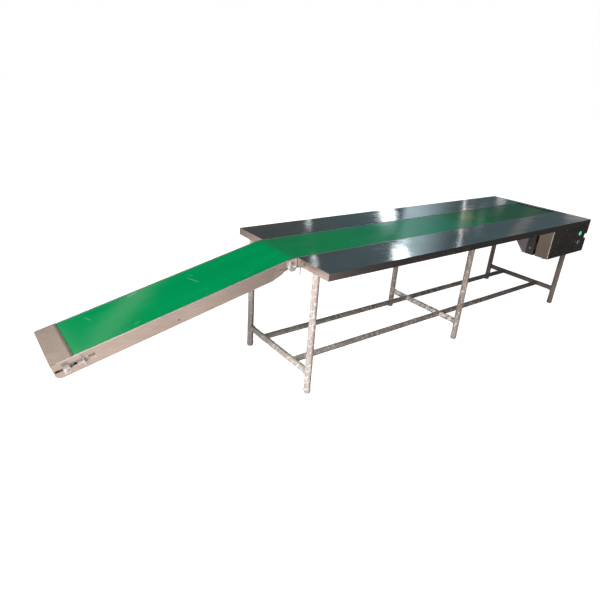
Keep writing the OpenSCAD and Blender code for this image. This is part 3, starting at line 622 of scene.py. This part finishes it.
lens("green_cap", "green_button", "green_button", "green_lens")
lens("white_cap", "white_button", "white_button", "white_lens")
bezel("green_ring", "green_button", 0.0046, 0.0075, "plated")
bezel("white_ring", "white_button", 0.0052, 0.0135, "plated")
bezel("selector_ring", "selector_knob", 0.0034, 0.0085, "plated")


def rod(name, start, end, radius, look, body="frame", n=20):
    """A straight round bar with softened ends."""
    start, end = Vector(start), Vector(end)
    length = (end - start).length
    soft = min(radius * 0.4, length / 4)
    inner = radius - soft * 0.3
    profile = [(0, 0), (0, radius - soft), (soft * 0.3, inner), (soft, radius),
               (length - soft, radius), (length - soft * 0.3, inner), (length, radius - soft), (length, 0)]
    return lathe(name, start, end - start, profile, look, body, n)


SLOPE = math.radians(13.4)


def small_details():
    """Edges, pointer and screw heads that catch the light."""
    lo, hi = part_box("selector_knob")
    cx, cz = (lo.x + hi.x) / 2, (lo.z + hi.z) / 2
    rod("selector_pointer", (cx, lo.y, cz - 0.002), (cx, lo.y, cz + 0.0105), 0.0011, "plated",
        "selector_knob", 12)
    box_lo, box_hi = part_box("front_panel")
    y = box_lo.y + 0.001
    rod("panel_lip", (box_lo.x, y, box_lo.z + 0.002), (box_lo.x, y, box_hi.z - 0.002),
        0.0024, "plated", "frame")
    rise = math.tan(SLOPE)
    for side in ("near", "far"):
        lo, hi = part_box(side + "_slope_plate")
        y = lo.y + 0.0012 if side == "near" else hi.y - 0.0012
        run = hi.x - lo.x - 0.03
        rod("edge_" + side, (hi.x - run, y, hi.z - run * rise - 0.0015), (hi.x - 0.004, y, hi.z - 0.0025),
            0.0028, "plated", "frame", 16)
    lo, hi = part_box("cover_screws")
    up = Vector((-math.sin(SLOPE), 0, math.cos(SLOPE)))
    for side, y in (("near", lo.y + 0.0045), ("far", hi.y - 0.0045)):
        profile = [(0, 0), (0, 0.0043), (0.0012, 0.0046), (0.0024, 0.0038), (0.0030, 0.0022),
                   (0.0026, 0.0012), (0.0018, 0.0008), (0.0018, 0)]
        centre = Vector(((lo.x + hi.x) / 2, y, hi.z - 0.0036))
        lathe("cover_screw_" + side, centre, up, profile, "plated", "frame", 24)


def slot_shade_sheet(name, side):
    """A dark sheet of painted shade behind the tail end of the take-up slot, so the slot shows dark and not
    the floor; it is clear of the block's travel.
    """
    lo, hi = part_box("takeup_blocks")
    cx, cz = (lo.x + hi.x) / 2, (lo.z + hi.z) / 2
    plate_lo, plate_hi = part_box(side + "_slope_plate")
    inset, outset = 0.0034, 0.0046
    y0, y1 = plate_hi.y - outset, plate_hi.y - inset
    if side == "near":
        y0, y1 = plate_lo.y + inset, plate_lo.y + outset
    along = Vector((math.cos(SLOPE), 0, math.sin(SLOPE)))
    up = Vector((-math.sin(SLOPE), 0, math.cos(SLOPE)))
    outline = []
    for k in range(32):
        a = TAU * k / 32
        c, q = math.cos(a), math.sin(a)
        reach = 1 / (abs(c) ** 6 + abs(q) ** 6) ** (1 / 6)
        outline.append(along * (-0.0432 + 0.0100 * c * reach) + up * (0.012 * q * reach))
    verts = [Vector((cx, y, cz)) + p for y in (y0, y1) for p in outline]
    faces = [tuple(range(32)), tuple(range(63, 31, -1))]
    faces += [(k, k + 32, (k + 1) % 32 + 32, (k + 1) % 32) for k in range(32)]
    add_piece(name, verts, faces, "switch_plastic", "frame", smooth=False)


small_details()
# dark sheets of painted shade behind both take-up slots
slot_shade_sheet("slot_strip_near", "near")
slot_shade_sheet("slot_strip_far", "far")


def seam(name, centre, axis, radius, seed):
    """A lumpy bead where one pipe is welded square to another, under the film."""
    axis = Vector(axis).normalized()
    u, v = side_axes(axis)
    n, m = 40, 10
    verts, crease = [], []
    for i in range(m):
        b = TAU * i / m
        for k in range(n):
            a = TAU * k / n
            lump = 0.0032 + 0.0022 * noise.noise(Vector((math.cos(a) * 2.5, math.sin(a) * 2.5, seed)))
            rr = radius + lump * math.cos(b) * 1.2
            out = lump * math.sin(b) * 1.4
            verts.append(Vector(centre) + axis * out + (u * math.cos(a) + v * math.sin(a)) * rr)
            crease.append(0.3 + 0.3 * noise.noise(Vector((math.cos(a) * 6, math.sin(a) * 6, seed))))
    add_piece(name, verts, ring_faces(m, n, closed=True), "pipe", "frame", crease=crease)


def seams():
    """A bead at each end of each crossbar."""
    for seed, place in enumerate(ROWS):
        lo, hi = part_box("crossbar_" + place)
        cx, cz, r = (lo.x + hi.x) / 2, (lo.z + hi.z) / 2, (hi.z - lo.z) / 2
        seam(f"seam_{place}_near", (cx, lo.y + 0.0215, cz), (0, 1, 0), r, seed * 3.1)
        seam(f"seam_{place}_far", (cx, hi.y - 0.0215, cz), (0, 1, 0), r, seed * 3.1 + 40)


seams()

# ---------------------------------------------------------------- world and stage


def sky(g, direction, azimuth, elevation, reach, soft, colour):
    """A soft round patch of light round one direction: reach and soft are angles."""
    a, e = math.radians(azimuth), math.radians(elevation)
    axis = (math.cos(a) * math.cos(e), math.sin(a) * math.cos(e), math.sin(e))
    d = g.vec("DOT_PRODUCT", direction, axis)
    m = g.span(d, math.cos(math.radians(reach + soft)), math.cos(math.radians(reach)))
    return g.vec("SCALE", colour, scale=m)


def strip(g, d, z, p, q, half, soft, colour, gap=None):
    """A straight streak of light through two directions; gap leaves out a band of heights."""
    ends = [Vector((math.cos(math.radians(a)) * math.cos(math.radians(e)),
                    math.sin(math.radians(a)) * math.cos(math.radians(e)),
                    math.sin(math.radians(e)))) for a, e in (p, q)]
    n = ends[0].cross(ends[1]).normalized()
    off = g.math("ABSOLUTE", g.vec("DOT_PRODUCT", d, tuple(n)))
    m = g.span(off, math.sin(math.radians(half + soft)), math.sin(math.radians(half)))
    front = g.span(g.vec("DOT_PRODUCT", d, tuple(ends[0])), 0.985, 0.995)
    m = g.math("MULTIPLY", g.math("MULTIPLY", m, front), g.span(z, 0.1, 0.16))
    m = g.math("MULTIPLY", m, g.span(z, 0.62, 0.55))
    if gap:
        mid, reach = (gap[0] + gap[1]) / 2, (gap[1] - gap[0]) / 2
        away = g.math("ABSOLUTE", g.math("SUBTRACT", z, mid))
        m = g.math("MULTIPLY", m, g.span(away, reach, reach * 1.25))
    return g.vec("SCALE", colour, scale=m)


# Streaks: two (azimuth, elevation) pairs in degrees, half width, softness, colour, gap in height.
STREAKS = (
    ((42.8, 13.3), (40.5, 18.0), 0.60, 0.3, (2.6, 2.7, 2.7), (0.246, 0.286)),
    ((52.2, 13.8), (51.5, 17.6), 0.22, 0.12, (1.1, 1.16, 1.14), (0.266, 0.322)),
    ((34.6, 11.5), (34.2, 17.0), 0.05, 0.08, (1.1, 1.1, 1.1)),
    ((27.6, 10.6), (28.9, 14.0), 0.35, 0.3, (0.10, 0.075, 0.055)),
)
SLOPE_STREAK = ((90.4, 29.9), (93.4, 30.7), 0.7, 0.5, (1.3, 1.25, 1.15))
# Patches: azimuth, elevation, reach and softness in degrees, colour.
TABLE_PATCHES = (
    (34.2, 12.5, 0.35, 0.55, (0.85, 0.56, 0.44)),
    (32.6, 12.4, 0.3, 0.3, (0.40, 0.52, 0.44)),
    (66, -8, 16, 9, (0.75, 0.68, 0.64)),
)
END_PATCH = (31.0, 10.15, 0.2, 0.45, (0.75, 0.70, 0.68))
SIDE_PATCHES = (
    (-98, -30, 24, 24, (0.95, 0.83, 0.77)),
    (127.5, -24, 5, 7, (0.98, 0.84, 0.78)),
    (170, -10, 20, 20, (0.5, 0.44, 0.41)),
    (-160, 30, 25, 30, (0.35, 0.33, 0.32)),
)
AMBIENT = 0.11  # strength of the even light that matt surfaces see


def make_world():
    """A white backdrop, even light on matt surfaces, and a dim room for the metal to mirror."""
    world = bpy.data.worlds.new("studio")
    bpy.context.scene.world = world
    world.use_nodes = True
    g = Graph(world.node_tree)
    d = g.vec("NORMALIZE", g.node("ShaderNodeTexCoord").outputs["Generated"])
    x, y, z = g.xyz(d)
    azimuth = g.math("MULTIPLY", g.math("ARCTAN2", y, x), 180 / math.pi)
    up = g.span(z, -0.02, 0.04)
    upper = g.mix(g.span(azimuth, 46, 54), (0.085, 0.118, 0.130), (0.080, 0.090, 0.092))
    dim = g.mix(up, (0.04, 0.036, 0.034), upper)
    total = dim

    def add(light):
        return g.vec("ADD", total, light)

    # the bright doorway that the table mirrors, fading to the right
    door = g.math("MULTIPLY", g.span(azimuth, 41.5, 40.6), g.span(azimuth, 35.0, 40.5))
    door = g.math("MULTIPLY", door, g.span(z, 0.10, 0.2))
    door = g.math("MULTIPLY", door, g.span(z, 0.62, 0.42))
    total = add(g.vec("SCALE", (0.40, 0.50, 0.53), scale=door))
    for streak in STREAKS:
        total = add(strip(g, d, z, *streak))
    for patch in TABLE_PATCHES:
        total = add(sky(g, d, *patch))
    # soft window high on the left, which the tail cover mirrors
    window = g.math("MULTIPLY", g.span(z, 0.38, 0.50), g.span(azimuth, 94.3, 95.8))
    window = g.math("MULTIPLY", window, g.span(azimuth, 150.0, 120.0))
    window = g.math("MULTIPLY", window, g.span(z, 0.95, 0.6, 0.35, 1.0))
    total = add(g.vec("SCALE", (1.2, 1.04, 0.94), scale=window))
    # warm light low on the right, seen in the last hand's width of the table
    warm = g.math("MULTIPLY", g.span(z, 0.2, 0.185), g.span(azimuth, 24.9, 23.9))
    warm = g.math("MULTIPLY", warm, g.math("MULTIPLY", up, g.span(azimuth, 18.0, 21.0)))
    total = add(g.vec("SCALE", (0.30, 0.225, 0.20), scale=warm))
    total = add(sky(g, d, *END_PATCH))
    # the dark part of the room that the slope mirrors, with one dim streak in it
    shade = g.math("MULTIPLY", g.span(azimuth, 60, 68), g.span(azimuth, 93.5, 89.5))
    shade = g.math("MULTIPLY", shade, g.span(z, 0.40, 0.46))
    total = g.vec("SCALE", total, scale=g.span(shade, 0, 1, 1, 0.12))
    total = add(strip(g, d, z, *SLOPE_STREAK))
    for patch in SIDE_PATCHES:
        total = add(sky(g, d, *patch))

    ambient = g.mix(g.span(z, -0.2, 1.0), (0.75, 0.74, 0.73), (1.0, 1.0, 1.0))
    path = g.node("ShaderNodeLightPath")
    lit = g.mix(path.outputs["Is Diffuse Ray"], total, g.vec("SCALE", ambient, scale=AMBIENT))
    seen = g.mix(path.outputs["Is Camera Ray"], lit, (1.0, 1.0, 1.0))
    back = g.node("ShaderNodeBackground")
    g.put(back.inputs["Color"], seen)
    out = g.node("ShaderNodeOutputWorld")
    g.tree.links.new(back.outputs[0], out.inputs["Surface"])


FLOOR_LIFT = 0.95  # brings the floor up to the white backdrop


def floor_look(g):
    cloud = g.noise(g.place(), 0.7, 3)
    tone = g.mix(g.span(cloud, 0.3, 0.7), (0.80, 0.80, 0.80), (0.84, 0.84, 0.84))
    path = g.node("ShaderNodeLightPath")
    return {
        "Base Color": tone,
        "Normal": g.bump(g.noise(g.place(), 60, 2), 0.02, 0.001),
        "Emission Strength": g.math("MULTIPLY", path.outputs["Is Camera Ray"], FLOOR_LIFT),
    }


def make_stage():
    """The pale floor under the feet."""
    half = 60.0
    mesh = bpy.data.meshes.new("floor")
    corners = [(-half, -half, 0), (half, -half, 0), (half, half, 0), (-half, half, 0)]
    mesh.from_pydata(corners, [], [(0, 1, 2, 3)])
    floor = bpy.data.objects.new("floor", mesh)
    bpy.context.collection.objects.link(floor)
    mesh.materials.append(surface("floor", floor_look, Specular_IOR_Level=0.0, Roughness=0.9,
                                  Emission_Color=(1.0, 1.0, 1.0)))
    floor.visible_glossy = False


def area(name, place, aim, size, power, colour):
    """A soft rectangular lamp, seen by neither the camera nor the metal."""
    data = bpy.data.lights.new(name, "AREA")
    data.shape = "RECTANGLE"
    data.size, data.size_y = size
    data.energy = power
    data.color = colour
    lamp = bpy.data.objects.new(name, data)
    bpy.context.collection.objects.link(lamp)
    lamp.location = place
    lamp.rotation_mode = "QUATERNION"
    lamp.rotation_quaternion = (Vector(aim) - Vector(place)).to_track_quat("-Z", "Y")
    lamp.visible_camera = False
    lamp.visible_glossy = False


make_world()
make_stage()
# Lamps: name, place, aim, size, watts, colour.
LAMPS = (
    ("side", (-14.0, -2.4, 5.2), (-0.6, 0.0, 0.6), (6, 5), 2450, (1.0, 0.965, 0.935)),
    ("front", (-3.4, -3.9, 1.3), (-0.8, 0, 0.45), (3, 2), 78, (1.0, 0.965, 0.94)),
    ("rear", (2.5, 4.5, 3.6), (0.5, 0, 0.5), (4, 3), 14, (0.97, 0.985, 1.0)),
)
for lamp_row in LAMPS:
    area(*lamp_row)

scene = bpy.context.scene
scene.view_settings.view_transform = "Standard"
scene.view_settings.look = "None"
